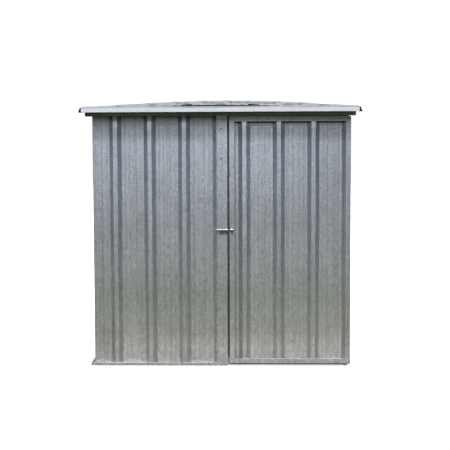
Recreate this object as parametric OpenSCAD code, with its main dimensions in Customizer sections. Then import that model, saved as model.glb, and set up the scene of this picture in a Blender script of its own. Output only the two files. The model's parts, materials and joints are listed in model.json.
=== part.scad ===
// Lean-to garden shed in ribbed galvanised sheet, with one outward-opening door.
// +X is to the right seen from the front, the front faces -Y and the ground is Z = 0.

/* [Shed] */
// Width over the flat pans of the two side walls
shed_w = 1841; // [1700:1:2400]
// Depth over the flat pans of the front and back walls
shed_d = 1835; // [1500:5:2400]
// Top of the header over the front wall
header_z = 1840; // [1700:5:2200]
// Height of the header's lips
header_lip = 28; // [20:1:40]
// How far the header runs past each side wall
header_reach = 50; // [40:1:80]

/* [Ribbed sheet] */
// Thickness of wall and roof sheet
sheet_t = 1; // [0.8:0.1:1.4]
// Height of a rib over the pan
rib_h = 24; // [18:1:30]
// Width of a rib's flat top
rib_top = 28; // [20:1:36]
// Width of a rib at its feet
rib_base = 86; // [70:1:96]
// Distance between ribs on the walls and the door
wall_pitch = 248; // [235:1:262]
// Width of one shallow swage in a pan
swage_w = 37; // [28:1:38]
// Height of a swage
swage_h = 2; // [1:0.25:3]
// Width of a swage's sloped edge
swage_run = 5; // [3:0.5:8]
// Distance between the swages of a pan
swage_pitch = 79; // [60:1:84]

/* [Rails and posts] */
// Thickness of rails, posts and flashings
rail_t = 1.2; // [1:0.1:2]
// Height of the lips of the base rail
base_lip = 25; // [18:1:40]
// Height of the lips of the rails over the side and back walls
top_lip = 28; // [20:1:40]
// Leg of the angle inside each closed corner
angle_leg = 30; // [20:1:34]
// Thickness of that angle
angle_t = 1.5; // [1:0.1:3]
// Depth of the strip that stiffens the roof at mid depth
purlin_h = 45; // [30:1:60]
// Width of that strip's lower flange
purlin_flange = 30; // [20:1:45]

/* [Door and its opening] */
// Left edge of the door
door_x0 = 66; // [40:1:120]
// Right edge of the door past the side wall's pan
door_overlap = 15.5; // [14:0.5:20]
// Height of the door's lower edge over the ground
door_z0 = 20; // [12:1:40]
// Gap between the door and the header
door_head_gap = 6; // [5:0.5:15]
// Space behind the door's sheet in its frame
door_slack = 2.3; // [1.2:0.1:6]
// Distance of the door's front face before the jamb's
door_proud = 3; // [2:0.25:4]
// Width of the frame's front lip
stile_w = 36; // [28:1:45]
// Width of the frame's back lip
back_lip = 20; // [16:1:24]
// First rib of the door, from its left edge
door_first_rib = 107; // [85:1:125]
// Gap between the door and the jamb strip
jamb_gap = 16; // [10:1:20]
// Width of the flat jamb strip
jamb_w = 76; // [64:1:90]
// Width of the stop behind the door's edge
stop_w = 25; // [15:1:30]
// Space between the door's back and the stop
stop_gap = 9.5; // [8:0.5:14]
// Front flange of the hinge post
post_flange = 30; // [20:1:34]
// Side flange of the hinge post
post_depth = 37.5; // [34:0.5:45]

/* [Hinges] */
// Pin radius
pin_r = 2; // [1.5:0.1:2.5]
// Radial play of the pin in the door's knuckle
pin_play = 0.05; // [0.02:0.01:0.09]
// Outer radius of a knuckle
knuckle_r = 5; // [4:0.1:5.2]
// Length of one of the three knuckles of a hinge
knuckle_l = 30; // [20:1:40]
// Thickness of a hinge leaf
leaf_t = 2; // [1.5:0.1:2.5]
// Height of the lowest and highest hinge from the door's ends
hinge_inset = 190; // [120:5:300]

/* [Pad bolt] */
// Height of the bolt over the ground
bolt_z = 994; // [850:1:1150]
// Radius of the bolt
bolt_r = 4; // [3:0.25:5]
// Radial play of the bolt in its guides
bolt_play = 0.08; // [0.02:0.01:0.1]
// Radial play of the bolt in the keeper
keeper_play = 0.6; // [0.4:0.1:1.5]
// Travel of the bolt
bolt_travel = 28; // [24:1:32]
// Width of the bolt's back plate
bolt_plate_w = 50; // [46:1:56]
// Height of the bolt's back plate
bolt_plate_h = 39; // [30:1:50]
// Length of each guide
guide_l = 6; // [4:0.5:7]
// Width of the keeper
keeper_w = 20; // [14:1:24]
// Height of the keeper's foot plate
keeper_plate_h = 34; // [26:1:44]

/* [Roof] */
// Slope of the roof, rising to the back
roof_slope = 4.13; // [2:0.1:8]
// Reach of the roof's outer ribs past the side walls' pans
roof_reach = 51.5; // [45:0.5:80]
// Distance between roof ribs, evened out over the roof's width
roof_pitch = 243; // [190:1:330]
// Rise of the roof's middle over its sides
roof_crown = 39; // [20:1:60]
// Rise of the roof's underside over the header, at the middle of its front edge
roof_rise = 50; // [46:1:66]
// Overhang of the fascia before the front wall
front_overhang = 70; // [60:1:90]
// Overhang of the roof behind the back wall
back_overhang = 65; // [30:1:90]
// Height of the fascia's upright lip
fascia_lip = 28; // [20:1:34]
// Fall from the fascia's back edge to its lip
fascia_fall = 16; // [8:1:20]
// Width of the fascia's sloping top
fascia_w = 50; // [38:1:60]
// Return at the fascia's lower edge
fascia_hem = 10; // [5:1:14]
// Width of a corner cap at its foot
cap_w = 20; // [12:1:26]
// Drop of the barge below the pan
barge_drop = 12; // [5:1:14]
// Width of the capping over the roof's back edge
capping_w = 40; // [30:1:60]

/* [Clearances] */
// Gap between pieces that are fixed to each other
seat_gap = 0.3; // [0.2:0.05:0.4]
// Gap between a sheet and the lips of its rails
channel_gap = 0.5; // [0.3:0.1:0.8]
// Gap between lapped sheets
lap_gap = 0.3; // [0.2:0.05:0.4]

/* [Hidden] */
$fn = 48;

// Colours
zinc = [0.62, 0.65, 0.67];
zinc_dark = [0.50, 0.53, 0.55];
bright = [0.80, 0.82, 0.84];
black = [0.06, 0.06, 0.06];

// How far a cutting shape runs past what it cuts
cut_past = 1;

// Inner faces of the wall pans
wall_in_x = shed_w / 2 - sheet_t;
wall_in_y = shed_d / 2 - sheet_t;
flank = (rib_base - rib_top) / 2;
flank_angle = atan(rib_h / flank);
lap_lift = sheet_t + lap_gap;

// Lips of a rail that holds a wall with its laps, measured outward from the pan's inner face
rail_in = -channel_gap - rail_t;
rail_out = rib_h + sheet_t + lap_lift + channel_gap + rail_t;
sheet_foot_z = rail_t + seat_gap;

// Door and opening, as distances before the middle of the shed
jamb_front = wall_in_y + rib_h + sheet_t + seat_gap + rail_t;
door_x1 = shed_w / 2 + door_overlap;
door_front = jamb_front + door_proud;
door_pan_in = door_front - rail_t - seat_gap - sheet_t - rib_h;
door_back = door_pan_in - door_slack - rail_t;
header_foot = header_z - header_lip;
door_z1 = header_foot - door_head_gap;
stop_front = door_back - stop_gap;
stop_back = stop_front - rail_t;
jamb_x1 = door_x0 - jamb_gap;
jamb_x0 = jamb_x1 - jamb_w;
header_out = jamb_front + channel_gap + rail_t - wall_in_y;
header_in = stop_back - seat_gap - rail_t - wall_in_y;
post_x1 = wall_in_x - seat_gap;
post_x0 = post_x1 - post_flange;
post_back = stop_front - post_depth;

// The hinge pin stands just behind the door, near its right edge
pin_inset = 8;
knuckle_clear = 1;
pin_x = door_x1 - pin_inset;
pin_y = door_back - knuckle_r - knuckle_clear;
hinge_zs = [door_z0 + hinge_inset, (door_z0 + door_z1) / 2, door_z1 - hinge_inset];
knuckle_gap = 0.5;
leaf_l = 3 * knuckle_l;
wall_leaf_w = 20;
door_leaf_w = 26;

// The bolt lies before the jamb strip and slides right, into the keeper on the door
bolt_stand = 5;
bolt_margin = 2;
bolt_wall = 3;
plate_rise = 6;
knob_r = 3;
knob_l = 14;
keeper_inset = 5;
bolt_y = jamb_front + seat_gap + leaf_t + bolt_r + bolt_stand;
bolt_plate_x0 = jamb_x1 - bolt_margin - bolt_plate_w;
bolt_plate_z1 = bolt_z + bolt_r + plate_rise;
bolt_tip = jamb_x1 + jamb_gap / 2;
knob_x = bolt_plate_x0 + guide_l + bolt_margin + knob_r;
bolt_tail = bolt_plate_x0 - bolt_travel - bolt_margin;
keeper_x0 = door_x0 + keeper_inset;

// Roof: a ribbed sheet with a slight crown, tilted up to the back
flashing_gap = 1.5;
fascia_lap = 2;
fascia_reach = 5;
closure_inset = 13;
cap_rise = 5;
cap_taper = 0.35;
roof_front_z = header_z + roof_rise;
roof_edge = shed_w / 2 + roof_reach;
roof_bays = round(roof_edge / roof_pitch);
roof_step = roof_edge / roof_bays;
roof_half = roof_edge + rib_top / 2;
fascia_front = shed_d / 2 + front_overhang;
fascia_z0 = header_z - fascia_lap;
fascia_top = fascia_z0 + fascia_lip + fascia_fall;
fascia_back = fascia_front - fascia_w;
fascia_half = roof_half + fascia_reach;
roof_y0 = -(fascia_back - flashing_gap);
roof_y1 = shed_d / 2 + back_overhang;
roof_l = (roof_y1 - roof_y0) / cos(roof_slope);
closure_y = -(fascia_back - closure_inset);
// Where the side walls carry the roof
roof_seat_x = roof_edge - rib_base / 2;

// Height of the roof pan's underside at a place
function crown_at(x) = -roof_crown * pow(x / roof_half, 2);
function roof_under(x, y) =
    roof_front_z + (y - roof_y0) * tan(roof_slope) + crown_at(x) / cos(roof_slope);
function side_top(y) = roof_under(roof_seat_x, y) - seat_gap;
back_top = side_top(wall_in_y + rail_in);

// Offset of an open outline to its left, with mitred corners
function unit(v) = v / norm(v);
function left_of(a, b) = let (d = unit(b - a)) [-d[1], d[0]];
function normal_before(p, i) = left_of(p[max(i, 1) - 1], p[max(i, 1)]);
function normal_after(p, i) = let (k = min(i, len(p) - 2)) left_of(p[k], p[k + 1]);
function mitred(p, i, d) =
    let (n = normal_before(p, i), m = normal_after(p, i))
    p[i] + d * (n + m) / (1 + n * m);
function band(p, d) =
    concat(p, [for (i = [len(p) - 1:-1:0]) mitred(p, i, d)]);

// Points of one rib, grown where it laps over another, and of the swages that fit in the pan after it
function rib_points(c, grow) =
    let (
        half_top = rib_top / 2 + grow * tan(flank_angle / 2),
        half_base = rib_base / 2 + grow / sin(flank_angle)
    )
    [[c - half_base, 0], [c - half_top, rib_h + grow], [c + half_top, rib_h + grow], [c + half_base, 0]];
function swage_points(c) = [
    [c - swage_w / 2, 0], [c - swage_w / 2 + swage_run, swage_h],
    [c + swage_w / 2 - swage_run, swage_h], [c + swage_w / 2, 0]
];
function swage_steps(pitch) = floor((pitch - rib_base - swage_w - 2 * swage_run) / swage_pitch);
function pan_points(c, pitch) =
    let (steps = swage_steps(pitch))
    [
        for (i = [0:1:steps])
            for (p = swage_points(c + pitch / 2 + (i - steps / 2) * swage_pitch)) p
    ];
// Profile of a sheet whose ribs are pitch apart, with one rib at c0, past both ends of u0 to u1
function sheet_profile(c0, pitch, u0, u1, lap) = [
    for (k = [floor((u0 - c0) / pitch) - 1:ceil((u1 - c0) / pitch)])
        let (c = c0 + k * pitch)
        for (p = concat(rib_points(c, lap == k ? lap_lift : 0), pan_points(c, pitch))) p
];

// A prism seen along Y: its outline is in X and Z, and it runs from near to far before the middle
module upright_prism(outline, near, far) {
    translate([0, -near, 0])
        rotate([90, 0, 0])
            linear_extrude(height = far - near)
                polygon(outline);
}

// Turns what was drawn as a front wall to another side of the shed
module on_side(turn) {
    rotate([0, 0, turn])
        children();
}

// A ribbed wall sheet cut to an outline, drawn as part of the front wall
module wall_sheet(c0, pan_in, outline, lap = undef) {
    u0 = min([for (p = outline) p[0]]);
    u1 = max([for (p = outline) p[0]]);
    z1 = max([for (p = outline) p[1]]);
    profile = sheet_profile(c0, wall_pitch, u0, u1, lap);
    intersection() {
        translate([0, -pan_in, 0])
            linear_extrude(height = z1 + cut_past)
                polygon([for (p = band(profile, sheet_t)) [p[0], -p[1]]]);
        upright_prism(outline, pan_in - cut_past, pan_in + 2 * rib_h);
    }
}

function box_outline(u0, u1, z0, z1) = [[u0, z0], [u1, z0], [u1, z1], [u0, z1]];

// A base rail: an upturned channel, mitred at an end whose place isn't given
function rail_end(side, half, place, v) = is_undef(place) ? side * (half + v - seat_gap / 2) : place;
module base_strip(half_u, pan_in, left, right, v0, v1, height) {
    linear_extrude(height = height)
        polygon([
            [rail_end(-1, half_u, left, v0), -pan_in - v0],
            [rail_end(1, half_u, right, v0), -pan_in - v0],
            [rail_end(1, half_u, right, v1), -pan_in - v1],
            [rail_end(-1, half_u, left, v1), -pan_in - v1]
        ]);
}
module base_rail(half_u, pan_in, left = undef, right = undef) {
    base_strip(half_u, pan_in, left, right, rail_in, rail_out, rail_t);
    base_strip(half_u, pan_in, left, right, rail_in, rail_in + rail_t, base_lip);
    base_strip(half_u, pan_in, left, right, rail_out - rail_t, rail_out, base_lip);
}

// A channel turned down over a wall's top edge, which may slope
module capping(pan_in, u0, top0, u1, top1, v0, v1, lip) {
    web = [[u0, top0], [u1, top1], [u1, top1 - rail_t], [u0, top0 - rail_t]];
    side = [[u0, top0], [u1, top1], [u1, top1 - lip], [u0, top0 - lip]];
    upright_prism(web, pan_in + v0, pan_in + v1);
    upright_prism(side, pan_in + v0, pan_in + v0 + rail_t);
    upright_prism(side, pan_in + v1 - rail_t, pan_in + v1);
}

// Base frame
module base_rail_front() {
    color(zinc)
        base_rail(wall_in_x, wall_in_y, right = jamb_x0 - seat_gap);
}
module base_rail_left() {
    color(zinc)
        on_side(-90)
            base_rail(wall_in_y, wall_in_x);
}
module base_rail_right() {
    color(zinc)
        on_side(90)
            base_rail(wall_in_y, wall_in_x, left = -post_back + seat_gap);
}
module base_rail_back() {
    color(zinc)
        on_side(180)
            base_rail(wall_in_x, wall_in_y);
}

// Walls
front_rib = jamb_x0 + rib_top / 2;
sheet_head = header_z - rail_t - seat_gap;
module front_panel() {
    color(zinc)
        wall_sheet(
            front_rib, wall_in_y,
            box_outline(-shed_w / 2, jamb_x1 - rail_t - seat_gap, sheet_foot_z, sheet_head)
        );
}
// Side sheets lap at the middle rib; their ends pass under the header and the back rail
lap_share = 0.7;
lap_reach = rib_top / 2 + lap_share * flank;
wall_end = wall_in_y - seat_gap;
rail_front_y = -(wall_in_y + header_in) + seat_gap;
rail_back_y = wall_in_y + rail_in - seat_gap;
front_notch_z = header_foot - seat_gap;
back_notch_z = back_top - top_lip - seat_gap;
post_lap = 16;
right_front_y = -(post_back + post_lap);
function side_sheet_top(y) = side_top(y) - rail_t - seat_gap;
module left_wall_front_sheet() {
    color(zinc)
        on_side(-90)
            wall_sheet(0, wall_in_x, [
                [-lap_reach, sheet_foot_z], [wall_end, sheet_foot_z], [wall_end, front_notch_z],
                [-rail_front_y, front_notch_z], [-rail_front_y, side_sheet_top(rail_front_y)],
                [-lap_reach, side_sheet_top(lap_reach)]
            ], lap = 0);
}
module left_wall_rear_sheet() {
    color(zinc)
        on_side(-90)
            wall_sheet(0, wall_in_x, [
                [-wall_end, sheet_foot_z], [lap_reach, sheet_foot_z],
                [lap_reach, side_sheet_top(-lap_reach)], [-rail_back_y, side_sheet_top(rail_back_y)],
                [-rail_back_y, back_notch_z], [-wall_end, back_notch_z]
            ]);
}
module right_wall_front_sheet() {
    color(zinc)
        on_side(90)
            wall_sheet(0, wall_in_x, [
                [right_front_y, sheet_foot_z], [lap_reach, sheet_foot_z],
                [lap_reach, side_sheet_top(lap_reach)], [right_front_y, side_sheet_top(right_front_y)]
            ], lap = 0);
}
module right_wall_rear_sheet() {
    color(zinc)
        on_side(90)
            wall_sheet(0, wall_in_x, [
                [-lap_reach, sheet_foot_z], [wall_end, sheet_foot_z], [wall_end, back_notch_z],
                [rail_back_y, back_notch_z], [rail_back_y, side_sheet_top(rail_back_y)],
                [-lap_reach, side_sheet_top(-lap_reach)]
            ]);
}
back_sheet_head = back_top - rail_t - seat_gap;
module back_wall_left_sheet() {
    color(zinc)
        on_side(180)
            wall_sheet(0, wall_in_y, box_outline(-shed_w / 2, lap_reach, sheet_foot_z, back_sheet_head));
}
module back_wall_right_sheet() {
    color(zinc)
        on_side(180)
            wall_sheet(
                0, wall_in_y, box_outline(-lap_reach, shed_w / 2, sheet_foot_z, back_sheet_head), lap = 0
            );
}

// Angles inside the closed corners
back_angle_head = side_top(wall_in_y - seat_gap - angle_leg) - top_lip;
module corner_angle(side_x, side_y, height) {
    x = wall_in_x - seat_gap;
    y = wall_in_y - seat_gap;
    translate([0, 0, base_lip + seat_gap])
        linear_extrude(height = height - base_lip - 2 * seat_gap)
            polygon([
                for (p = [
                    [x, y], [x - angle_leg, y], [x - angle_leg, y - angle_t],
                    [x - angle_t, y - angle_t], [x - angle_t, y - angle_leg], [x, y - angle_leg]
                ]) [side_x * p[0], side_y * p[1]]
            ]);
}
module corner_angle_front_left() {
    color(zinc_dark)
        corner_angle(-1, -1, header_foot);
}
module corner_angle_back_left() {
    color(zinc_dark)
        corner_angle(-1, 1, back_angle_head);
}
module corner_angle_back_right() {
    color(zinc_dark)
        corner_angle(1, 1, back_angle_head);
}

// The hinge post and the jamb stand inside the header; what lies behind its inner lip stops below it
module below_header_lip() {
    difference() {
        children();
        translate([-shed_w, -stop_back, header_foot - seat_gap])
            cube([2 * shed_w, shed_d, 2 * header_lip]);
    }
}
module hinge_post() {
    color(zinc)
        below_header_lip()
            linear_extrude(height = sheet_head)
                polygon([
                    [post_x0, -stop_front], [post_x1, -stop_front], [post_x1, -post_back],
                    [post_x1 - rail_t, -post_back], [post_x1 - rail_t, -stop_back], [post_x0, -stop_back]
                ]);
}
module door_jamb() {
    jamb_back = jamb_front - rail_t;
    color(zinc)
        below_header_lip()
            linear_extrude(height = sheet_head)
                polygon([
                    [jamb_x0, -jamb_front], [jamb_x1, -jamb_front], [jamb_x1, -stop_front],
                    [jamb_x1 + stop_w, -stop_front], [jamb_x1 + stop_w, -stop_back],
                    [jamb_x1 - rail_t, -stop_back], [jamb_x1 - rail_t, -jamb_back], [jamb_x0, -jamb_back]
                ]);
}
module front_header() {
    reach = shed_w / 2 + header_reach;
    color(zinc_dark)
        capping(wall_in_y, -reach, header_z, reach, header_z, header_in, header_out, header_lip);
}

// Rails over the other walls
module top_rail_left() {
    color(zinc)
        on_side(-90)
            capping(
                wall_in_x, -rail_back_y, side_top(rail_back_y), -rail_front_y, side_top(rail_front_y),
                rail_in, rail_out, top_lip
            );
}
module top_rail_right() {
    color(zinc)
        on_side(90)
            capping(
                wall_in_x, rail_front_y, side_top(rail_front_y), rail_back_y, side_top(rail_back_y),
                rail_in, rail_out, top_lip
            );
}
module top_rail_back() {
    reach = wall_in_x + rail_out;
    color(zinc)
        on_side(180)
            capping(wall_in_y, -reach, back_top, reach, back_top, rail_in, rail_out, top_lip);
}

// Upright strips with an arched top edge under the roof pans
function arch_xs(half) = concat(
    [-half],
    [
        for (k = [-roof_bays:roof_bays])
            for (s = [-1, 1])
                let (x = k * roof_step + s * rib_base / 2)
                if (abs(x) < half) x
    ],
    [half]
);
function arch_outline(half, y, foot) = concat(
    [[half, foot], [-half, foot]],
    [for (x = arch_xs(half)) [x, roof_under(x, y) - seat_gap]]
);
module arch_strip(half, y, foot) {
    upright_prism(arch_outline(half, y, foot), -y - rail_t, -y);
}
module front_closure() {
    color(zinc_dark)
        arch_strip(roof_seat_x, closure_y, header_z + seat_gap);
}
module rear_closure() {
    color(zinc_dark)
        arch_strip(roof_seat_x, wall_in_y + rib_h, back_top + seat_gap);
}
module roof_purlin() {
    half = wall_in_x + rail_in - seat_gap;
    foot = side_top(0) - purlin_h;
    color(zinc)
        union() {
            arch_strip(half, 0, foot);
            upright_prism(box_outline(-half, half, foot, foot + rail_t), -purlin_flange, 0);
        }
}

// Roof sheets: the outer two lie under the middle one at their laps
module roof_frame() {
    translate([0, roof_y0, roof_front_z])
        rotate([roof_slope, 0, 0])
            translate([0, roof_l, 0])
                rotate([90, 0, 0])
                    children();
}
function crowned(p) = [for (q = p) [q[0], q[1] + crown_at(q[0])]];
function roof_rib(k, grow) = rib_points(k * roof_step, grow);
function roof_pan(k) = pan_points(k * roof_step, roof_step);
// Part of a rib from a flank's lap edge over its top, on the side given
function rib_part(k, side, grow) =
    let (
        p = roof_rib(k, grow),
        cut = side < 0 ? p[1] + (p[0] - p[1]) * lap_share : p[2] + (p[3] - p[2]) * lap_share
    )
    side < 0 ? [cut, p[1], p[2], p[3]] : [p[0], p[1], p[2], cut];
// Half of an outer rib, from the roof's edge inward, going down at the edge to the foot given
function edge_rib(side, grow, foot) =
    let (p = roof_rib(side * roof_bays, grow), x = side * roof_half, top = rib_h + grow)
    side < 0 ? concat(foot, [[x, top], p[2], p[3]]) : concat([p[0], p[1], [x, top]], foot);
// A sheet with the given profile, whose ribs are folded shut at the front
module roof_sheet(profile, ends) {
    roof_frame()
        union() {
            linear_extrude(height = roof_l)
                polygon(band(crowned(profile), sheet_t));
            for (end = ends)
                translate([0, 0, roof_l - sheet_t])
                    linear_extrude(height = sheet_t)
                        polygon(crowned(end));
        }
}
module outer_roof_sheet(side) {
    fold = sheet_t / 2;
    ribs = side < 0 ? [for (k = [1 - roof_bays:1:-2]) k] : [for (k = [2:1:roof_bays - 1]) k];
    bays = [for (k = ribs) for (p = concat(roof_rib(k, 0), roof_pan(k))) p];
    profile = side < 0
        ? concat(edge_rib(-1, 0, []), roof_pan(-roof_bays), bays, rib_part(-1, 1, 0))
        : concat(rib_part(1, -1, 0), roof_pan(1), bays, edge_rib(1, 0, []));
    roof_sheet(profile, concat(
        [edge_rib(side, fold, [[side * roof_half, 0]]), rib_part(side, -side, fold)],
        [for (k = ribs) roof_rib(k, fold)]
    ));
}
module roof_sheet_left() {
    color(zinc)
        outer_roof_sheet(-1);
}
module roof_sheet_middle() {
    color(zinc)
        roof_sheet(
            concat(
                rib_part(-1, -1, lap_lift), roof_pan(-1),
                roof_rib(0, 0), roof_pan(0), rib_part(1, 1, lap_lift)
            ),
            [roof_rib(0, sheet_t / 2)]
        );
}
module roof_sheet_right() {
    color(zinc)
        outer_roof_sheet(1);
}

// Folded flashing along the front, standing on the header
module front_fascia() {
    fold = [
        [-fascia_front + fascia_hem, fascia_z0], [-fascia_front, fascia_z0],
        [-fascia_front, fascia_z0 + fascia_lip], [-fascia_back, fascia_top],
        [-fascia_back, header_z + seat_gap]
    ];
    color(bright)
        translate([-fascia_half, 0, 0])
            rotate([90, 0, 90])
                linear_extrude(height = 2 * fascia_half)
                    polygon(band(fold, -rail_t));
}
// Folded edge strips on the roof's outer ribs
module barge(side) {
    top = crown_at(roof_edge) + rib_h + sheet_t + flashing_gap;
    edge = roof_half + flashing_gap;
    fold = [[roof_edge - rib_top / 2, top], [edge, top], [edge, crown_at(roof_half) - barge_drop]];
    color(zinc)
        roof_frame()
            linear_extrude(height = roof_l)
                polygon([for (p = band(fold, rail_t)) [side * p[0], p[1]]]);
}
module left_barge() {
    barge(-1);
}
module right_barge() {
    barge(1);
}
// Folded capping on the ribs at the back edge, with a front lip cut to fit between them
capping_seat = sheet_t + lap_lift + seat_gap;
capping_grow = capping_seat + rail_t / 2;
capping_foot = sheet_t + swage_h + seat_gap;
function lip_side(k, side) =
    let (
        p = roof_rib(k, capping_grow),
        top = side < 0 ? p[1] : p[2],
        base = side < 0 ? p[0] : p[3]
    )
    [top, base + (top - base) * capping_foot / top[1]];
function lip_points(k) =
    let (a = lip_side(k, 1), b = lip_side(k + 1, -1))
    [a[0], a[1], b[1], b[0]];
function capping_line(z) = crowned([
    for (k = [-roof_bays:roof_bays - 1])
        for (p = lip_points(k))
            if (p[1] > rib_h) [p[0], z]
]);
module rear_capping() {
    under = capping_line(rib_h + capping_seat);
    foot = capping_line(-barge_drop);
    color(bright)
        roof_frame()
            translate([0, 0, -seat_gap - rail_t])
                union() {
                    linear_extrude(height = capping_w)
                        polygon(band(under, rail_t));
                    linear_extrude(height = rail_t)
                        polygon(concat(foot, [
                            for (i = [len(under) - 1:-1:0]) mitred(under, i, rail_t)
                        ]));
                    for (k = [-roof_bays:roof_bays - 1])
                        translate([0, 0, capping_w - rail_t])
                            linear_extrude(height = rail_t)
                                polygon(crowned(lip_points(k)));
                }
}
// Slanted plastic caps that close the fascia's ends
module corner_cap(side) {
    x = fascia_half + seat_gap;
    head = cap_w * cap_taper;
    top = fascia_z0 + fascia_lip + cap_rise;
    color(black)
        upright_prism([
            for (p = [
                [x, fascia_z0], [x + cap_w, fascia_z0],
                [x + head, top], [x, top]
            ]) [side * p[0], p[1]]
        ], fascia_back, fascia_front);
}
module corner_cap_left() {
    corner_cap(-1);
}
module corner_cap_right() {
    corner_cap(1);
}

// Door: a ribbed sheet in a mitred frame of channels
module door_sheet() {
    edge = rail_t + seat_gap;
    color(zinc)
        wall_sheet(
            door_x0 + door_first_rib, door_pan_in,
            box_outline(door_x0 + edge, door_x1 - edge, door_z0 + edge, door_z1 - edge)
        );
}
// One side of a mitred frame of the width given: an outline in X and Z
function side_strip(side, w) =
    let (x = side < 0 ? door_x0 : door_x1)
    [
        [x, door_z0 + seat_gap], [x, door_z1 - seat_gap],
        [x - side * w, door_z1 - w - seat_gap], [x - side * w, door_z0 + w + seat_gap]
    ];
function end_strip(side, w) =
    let (z = side < 0 ? door_z0 : door_z1)
    [[door_x0, z], [door_x1, z], [door_x1 - w, z - side * w], [door_x0 + w, z - side * w]];
module frame_member(web, front, back) {
    upright_prism(web, door_back, door_front);
    upright_prism(front, door_front - rail_t, door_front);
    upright_prism(back, door_back, door_back + rail_t);
}
module door_stile(side) {
    color(zinc)
        frame_member(side_strip(side, rail_t), side_strip(side, stile_w), side_strip(side, back_lip));
}
module door_rail(side) {
    color(zinc)
        frame_member(end_strip(side, rail_t), end_strip(side, stile_w), end_strip(side, back_lip));
}
module door_left_stile() {
    door_stile(-1);
}
module door_right_stile() {
    door_stile(1);
}
module door_top_rail() {
    door_rail(1);
}
module door_bottom_rail() {
    door_rail(-1);
}

// Butt hinges: outer knuckles and pin on the post, middle knuckle on the door
module at_hinges() {
    for (z = hinge_zs)
        translate([pin_x, -pin_y, z])
            children();
}
module hinge_wall_leaves() {
    plate_x = post_x1 + seat_gap - pin_x;
    color(bright)
        at_hinges() {
            for (s = [-1, 1])
                translate([0, 0, s * knuckle_l])
                    cylinder(r = knuckle_r, h = knuckle_l - knuckle_gap, center = true);
            cylinder(r = pin_r, h = leaf_l - knuckle_gap, center = true);
            for (s = [-1, 1])
                translate([plate_x, knuckle_r - leaf_t, s * knuckle_l - (knuckle_l - knuckle_gap) / 2])
                    cube([-plate_x, leaf_t, knuckle_l - knuckle_gap]);
            translate([plate_x, knuckle_r - leaf_t, -(leaf_l - knuckle_gap) / 2])
                cube([leaf_t, wall_leaf_w, leaf_l - knuckle_gap]);
        }
}
module hinge_door_leaves() {
    leaf_y = pin_y - door_back + seat_gap;
    color(bright)
        at_hinges()
            difference() {
                union() {
                    cylinder(r = knuckle_r, h = knuckle_l - knuckle_gap, center = true);
                    translate([-door_leaf_w, leaf_y, -(knuckle_l - knuckle_gap) / 2])
                        cube([door_leaf_w, leaf_t, knuckle_l - knuckle_gap]);
                }
                cylinder(r = pin_r + pin_play, h = leaf_l, center = true);
            }
}

// Pad bolt
module along_x(x0, length, radius) {
    translate([x0, -bolt_y, bolt_z])
        rotate([0, 90, 0])
            cylinder(r = radius, h = length);
}
// A staple round the bolt: a rounded strap on two straight cheeks
module bolt_staple(x0, length, seat, play) {
    half = bolt_r + bolt_wall;
    difference() {
        union() {
            along_x(x0, length, half);
            translate([x0, -bolt_y, bolt_z - half])
                cube([length, bolt_y - seat, 2 * half]);
        }
        along_x(x0 - cut_past, length + 2 * cut_past, bolt_r + play);
    }
}
module bolt_plate() {
    seat = jamb_front + seat_gap;
    color(bright) {
        upright_prism(
            box_outline(
                bolt_plate_x0, bolt_plate_x0 + bolt_plate_w, bolt_plate_z1 - bolt_plate_h, bolt_plate_z1
            ), seat, seat + leaf_t
        );
        bolt_staple(bolt_plate_x0, guide_l, seat, bolt_play);
        bolt_staple(bolt_plate_x0 + bolt_plate_w - guide_l, guide_l, seat, bolt_play);
    }
}
module bolt_keeper() {
    seat = door_front + seat_gap;
    color(bright) {
        upright_prism(
            box_outline(
                keeper_x0, keeper_x0 + keeper_w, bolt_z - keeper_plate_h / 2, bolt_z + keeper_plate_h / 2
            ), seat, seat + leaf_t
        );
        bolt_staple(keeper_x0, keeper_w, seat, keeper_play);
    }
}
module bolt_rod() {
    color(bright) {
        along_x(bolt_tail, bolt_tip - bolt_tail, bolt_r);
        translate([knob_x, -bolt_y, bolt_z])
            rotate([90, 0, 0])
                cylinder(r = knob_r, h = bolt_r + knob_l);
    }
}

base_rail_front();
base_rail_left();
base_rail_right();
base_rail_back();
front_panel();
left_wall_front_sheet();
left_wall_rear_sheet();
right_wall_front_sheet();
right_wall_rear_sheet();
back_wall_left_sheet();
back_wall_right_sheet();
corner_angle_front_left();
corner_angle_back_left();
corner_angle_back_right();
hinge_post();
door_jamb();
front_header();
front_closure();
top_rail_left();
top_rail_right();
top_rail_back();
rear_closure();
roof_purlin();
roof_sheet_left();
roof_sheet_middle();
roof_sheet_right();
front_fascia();
left_barge();
right_barge();
rear_capping();
corner_cap_left();
corner_cap_right();
hinge_wall_leaves();
bolt_plate();
door_sheet();
door_left_stile();
door_right_stile();
door_top_rail();
door_bottom_rail();
hinge_door_leaves();
bolt_keeper();
bolt_rod();
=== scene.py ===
"""Looks of a galvanised garden shed: weathered zinc finishes with painted light and shade, fasteners,
hems, light and camera.
"""

import json
import math

import bmesh
import bpy
from mathutils import Matrix, Vector
from mathutils.bvhtree import BVHTree

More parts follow.
